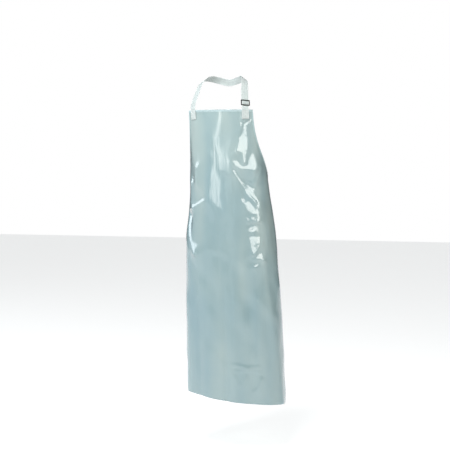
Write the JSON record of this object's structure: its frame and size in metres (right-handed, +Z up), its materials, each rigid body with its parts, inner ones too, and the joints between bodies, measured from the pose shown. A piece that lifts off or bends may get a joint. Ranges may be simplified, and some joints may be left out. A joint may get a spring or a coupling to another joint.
{
  "type": "butcher apron",
  "caption": "Full-length bib apron of glossy coated sheet, hung as worn, with a neck strap on a sliding adjuster and a belt with a side-release buckle behind.",
  "frame": {"origin": "the point at the nape where the neck strap rests, on the strap's inner face", "axes": "+Z up along the hanging apron, -Y the way the wearer faces, +X the wearer's left side"},
  "size_m": [0.4434, 0.2854, 1.4048],
  "materials": {
    "coated_sheet": "glossy coated sheet, pale blue-green white",
    "edge_band": "glossy folded band, a shade lighter than the sheet",
    "webbing": "woven white webbing",
    "thread": "white sewing thread",
    "black_plastic": "satin black moulding"
  },
  "bodies": {
    "apron": {"apron_panel": "coated_sheet", "bib_top_hem": "edge_band", "armhole_binding_left": "edge_band", "armhole_binding_right": "edge_band", "neck_strap": "webbing", "slider_strap": "webbing", "corner_patch_left": "coated_sheet", "corner_patch_right": "coated_sheet", "corner_stitch_left": "thread", "corner_stitch_right": "thread", "waist_patch_left": "coated_sheet", "waist_patch_right": "coated_sheet", "waist_strap_left": "webbing", "waist_strap_right": "webbing", "waist_stitch_left": "thread", "waist_stitch_right": "thread", "buckle_socket": "black_plastic"},
    "slider": {"neck_slider": "black_plastic", "slider_loop_stitch": "thread"},
    "plug": {"buckle_plug": "black_plastic"},
    "prong_upper": {"buckle_prong_upper": "black_plastic"},
    "prong_lower": {"buckle_prong_lower": "black_plastic"}
  },
  "joints": [
    {"name": "neck_slider_slide", "type": "slide", "parent": "apron", "child": "slider", "axis": [-0.1322, 0.3206, 0.9379], "range_m": [-0.012, 0.03], "deforming": ["slider_strap", "neck_strap"]},
    {"name": "buckle_release", "type": "slide", "parent": "apron", "child": "plug", "axis": [1, 0, 0], "range_m": [0, 0.034], "deforming": ["waist_strap_right", "buckle_prong_upper", "buckle_prong_lower"]},
    {"name": "prong_upper_squeeze", "type": "hinge", "parent": "plug", "child": "prong_upper", "pos_m": [0.025, 0.0745, -0.46515], "axis": [0, -1, 0], "range_deg": [0, 7], "stiffness_Nm_per_rad": 0.3},
    {"name": "prong_lower_squeeze", "type": "hinge", "parent": "plug", "child": "prong_lower", "pos_m": [0.025, 0.0745, -0.48385], "axis": [0, 1, 0], "range_deg": [0, 7], "stiffness_Nm_per_rad": 0.3}
  ],
  "couplings": [
    {"joint": "prong_lower_squeeze", "follows": "prong_upper_squeeze", "ratio": 1}
  ]
}
